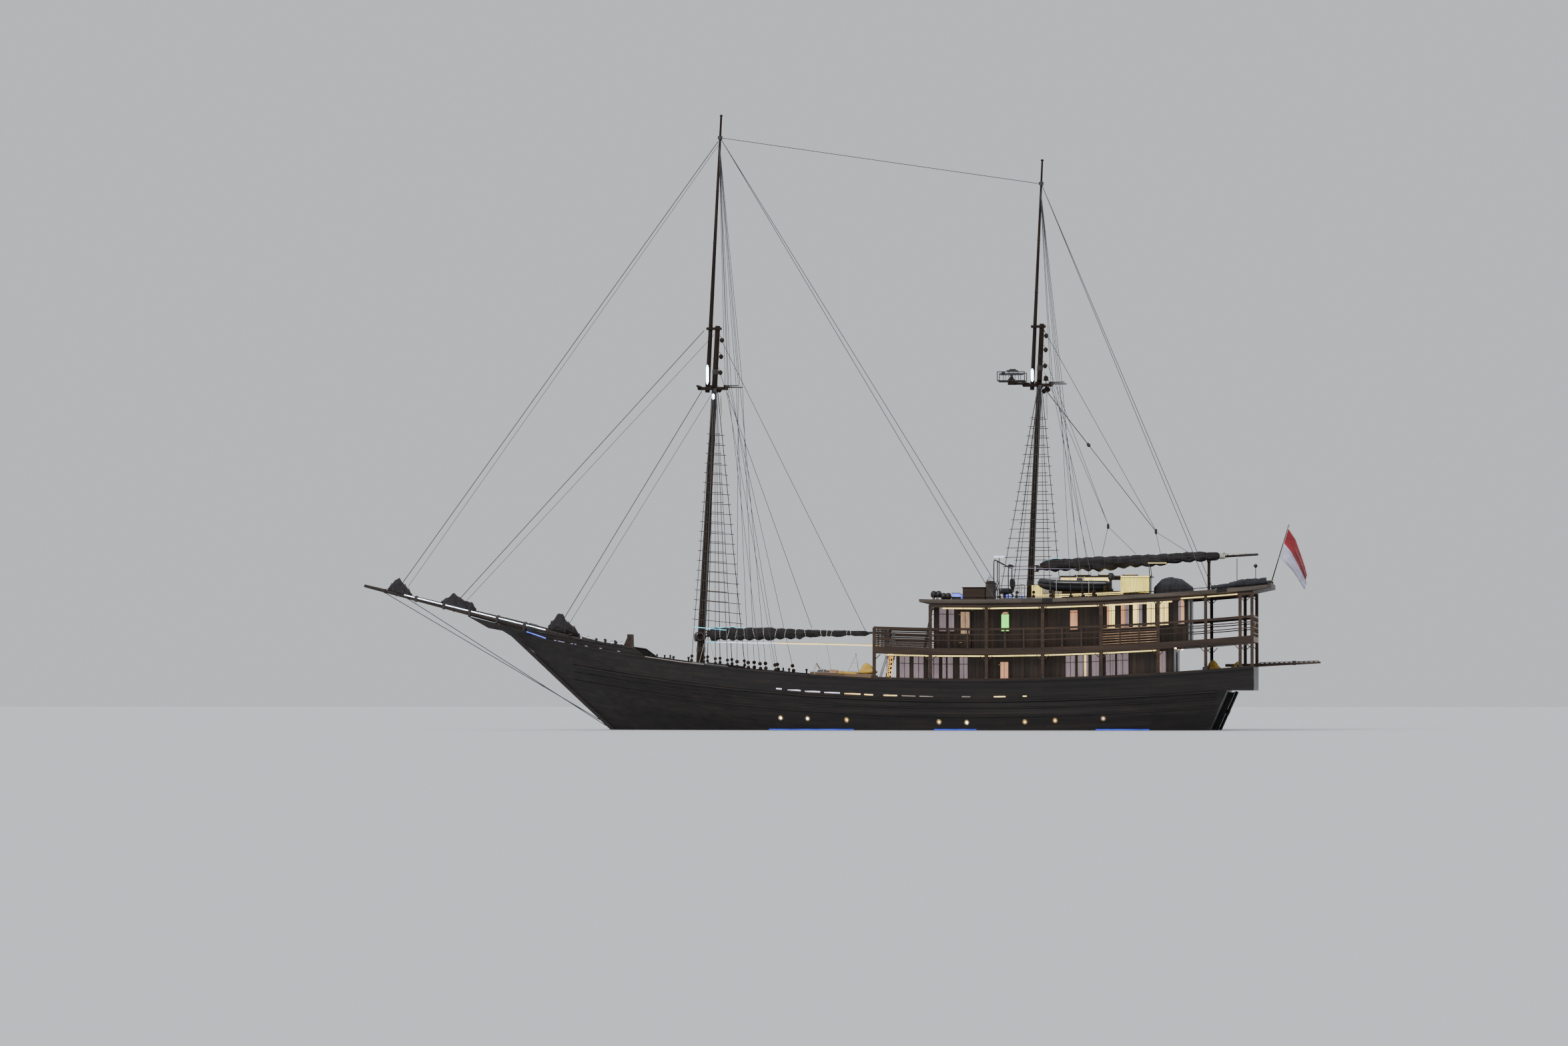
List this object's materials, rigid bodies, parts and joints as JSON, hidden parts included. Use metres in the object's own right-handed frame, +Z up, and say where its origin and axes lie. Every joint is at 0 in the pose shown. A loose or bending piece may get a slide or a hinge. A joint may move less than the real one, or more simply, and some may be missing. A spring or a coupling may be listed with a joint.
{
  "type": "two-masted motor sailing ship of the phinisi type, 1:2 scale model",
  "caption": "Timber sailing ship with two masts, furled sails, a long bowsprit, galleried cabins on two decks, rudder and twin screws, afloat at its waterline.",
  "frame": {"origin": "on the waterline, on the centre line, near the middle of the hull's length", "axes": "+X towards the bow, +Y to port, +Z up"},
  "size_m": [23.9882, 4.36, 16.7683],
  "materials": {
    "hull_paint": "dark gloss paint over timber",
    "deck_teak": "oiled planks",
    "dark_timber": "varnished dark timber",
    "spar_timber": "oiled dark spars",
    "sail_canvas": "weathered dark canvas",
    "wire_steel": "galvanised wire",
    "screw_bronze": "cast bronze",
    "radar_case": "moulded case",
    "awning_cloth": "pale awning cloth",
    "boat_skin": "dark inflatable tube",
    "ensign_cloth": "plain red and white bunting",
    "bag_cloth": "yellow bean bag cover"
  },
  "bodies": {
    "ship": {"hull": "hull_paint", "backbone": "hull_paint", "main_deck": "deck_teak", "bulwark_port": "hull_paint", "bulwark_starboard": "hull_paint", "stern_counter": "hull_paint", "shaft_port": "wire_steel", "shaft_starboard": "wire_steel", "bowsprit": "spar_timber", "bow_bitts": "dark_timber", "jib_outer": "sail_canvas", "jib_middle": "sail_canvas", "jib_inner": "sail_canvas", "foremast": "spar_timber", "fore_topmast": "spar_timber", "fore_crosstrees": "spar_timber", "mainmast": "spar_timber", "main_topmast": "spar_timber", "main_crosstrees": "spar_timber", "fore_shrouds_port": "wire_steel", "fore_shrouds_starboard": "wire_steel", "main_shrouds_port": "wire_steel", "main_shrouds_starboard": "wire_steel", "fore_head_stays": "wire_steel", "main_head_stays": "wire_steel", "boom_crutch": "spar_timber", "foredeck_awning": "awning_cloth", "main_house_port": "dark_timber", "main_house_starboard": "dark_timber", "main_house_front": "dark_timber", "main_house_back": "dark_timber", "upper_house_port": "dark_timber", "upper_house_starboard": "dark_timber", "upper_house_front": "dark_timber", "upper_house_back": "dark_timber", "upper_deck": "deck_teak", "roof": "dark_timber", "gallery_port": "dark_timber", "gallery_starboard": "dark_timber", "fore_stair": "dark_timber", "skylight_house": "dark_timber", "tender": "boat_skin", "covered_gear": "sail_canvas", "ensign_staff": "spar_timber", "ensign": "ensign_cloth", "bean_bag_fore": "bag_cloth", "bean_bag_aft": "bag_cloth", "gangway": "dark_timber"},
    "rudder": {"rudder": "hull_paint"},
    "propeller_port": {"propeller_port": "screw_bronze"},
    "propeller_starboard": {"propeller_starboard": "screw_bronze"},
    "fore_boom": {"fore_boom": "spar_timber", "fore_sail": "sail_canvas"},
    "main_boom": {"main_boom": "spar_timber", "main_sail": "sail_canvas"},
    "radar": {"radar_scanner": "radar_case"},
    "main_door_port": {"main_door_port": "dark_timber"},
    "main_door_starboard": {"main_door_starboard": "dark_timber"},
    "upper_door_port": {"upper_door_port": "dark_timber"},
    "upper_door_starboard": {"upper_door_starboard": "dark_timber"}
  },
  "joints": [
    {"name": "rudder_swing", "type": "hinge", "parent": "ship", "child": "rudder", "pos_m": [-7.766, 0, 0], "axis": [-0.4096, 0, 0.9123], "range_deg": [-35, 35]},
    {"name": "propeller_port_spin", "type": "hinge", "parent": "ship", "child": "propeller_port", "pos_m": [-6.29, 0.64, -1.0605], "axis": [0.9962, 0, 0.0867], "continuous": true},
    {"name": "propeller_starboard_spin", "type": "hinge", "parent": "ship", "child": "propeller_starboard", "pos_m": [-6.29, -0.64, -1.0605], "axis": [0.9962, 0, 0.0867], "continuous": true},
    {"name": "fore_boom_swing", "type": "hinge", "parent": "ship", "child": "fore_boom", "pos_m": [5.0031, 0, 2.405], "axis": [-0.0519, 0, 0.9987], "range_deg": [-30, 30]},
    {"name": "main_boom_swing", "type": "hinge", "parent": "ship", "child": "main_boom", "pos_m": [-3.2374, 0, 4.015], "axis": [-0.0454, 0, 0.999], "range_deg": [-15, 15]},
    {"name": "radar_spin", "type": "hinge", "parent": "ship", "child": "radar", "pos_m": [-2.6, 0, 8.83], "axis": [0, 0, 1], "continuous": true},
    {"name": "main_door_port_swing", "type": "hinge", "parent": "ship", "child": "main_door_port", "pos_m": [-2.3705, 1.598, 1.3], "axis": [0, 0, 1], "range_deg": [-90, 0]},
    {"name": "main_door_starboard_swing", "type": "hinge", "parent": "ship", "child": "main_door_starboard", "pos_m": [-2.3705, -1.598, 1.3], "axis": [0, 0, 1], "range_deg": [0, 90]},
    {"name": "upper_door_port_swing", "type": "hinge", "parent": "ship", "child": "upper_door_port", "pos_m": [-1.3845, 1.498, 2.5], "axis": [0, 0, 1], "range_deg": [-90, 0]},
    {"name": "upper_door_starboard_swing", "type": "hinge", "parent": "ship", "child": "upper_door_starboard", "pos_m": [-1.3845, -1.498, 2.5], "axis": [0, 0, 1], "range_deg": [0, 90]}
  ]
}
